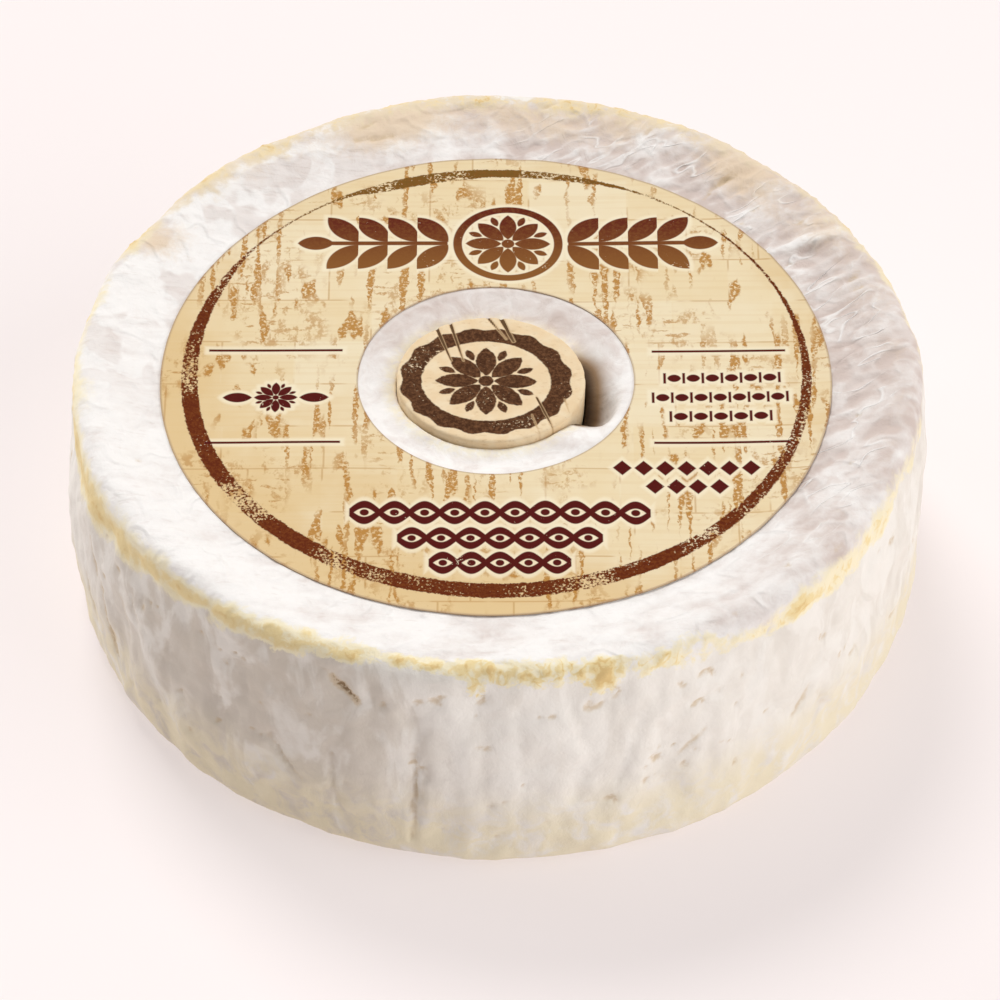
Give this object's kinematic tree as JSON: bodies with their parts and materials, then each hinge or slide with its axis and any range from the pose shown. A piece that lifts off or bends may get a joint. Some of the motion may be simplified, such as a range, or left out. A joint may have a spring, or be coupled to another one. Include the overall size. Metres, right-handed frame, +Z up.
{
  "type": "cheese wheel",
  "caption": "Small soft-ripened cheese wheel with an uneven white rind, a printed paper ring laid on its top and a cork pressed into the middle.",
  "frame": {"origin": "centre of the flat base", "axes": "+Z up through the middle of the wheel, -Y towards the side that the label's print faces, +X to that side's right"},
  "size_m": [0.1064, 0.1082, 0.034],
  "materials": {
    "rind": "soft white bloomy rind, ochre along the upper edge",
    "paper": "matt printed paper with a cork-bark pattern",
    "cork": "natural cork with a dark stamped ornament"
  },
  "bodies": {
    "root": {"cheese": "rind", "label": "paper", "cork": "cork"}
  },
  "joints": []
}
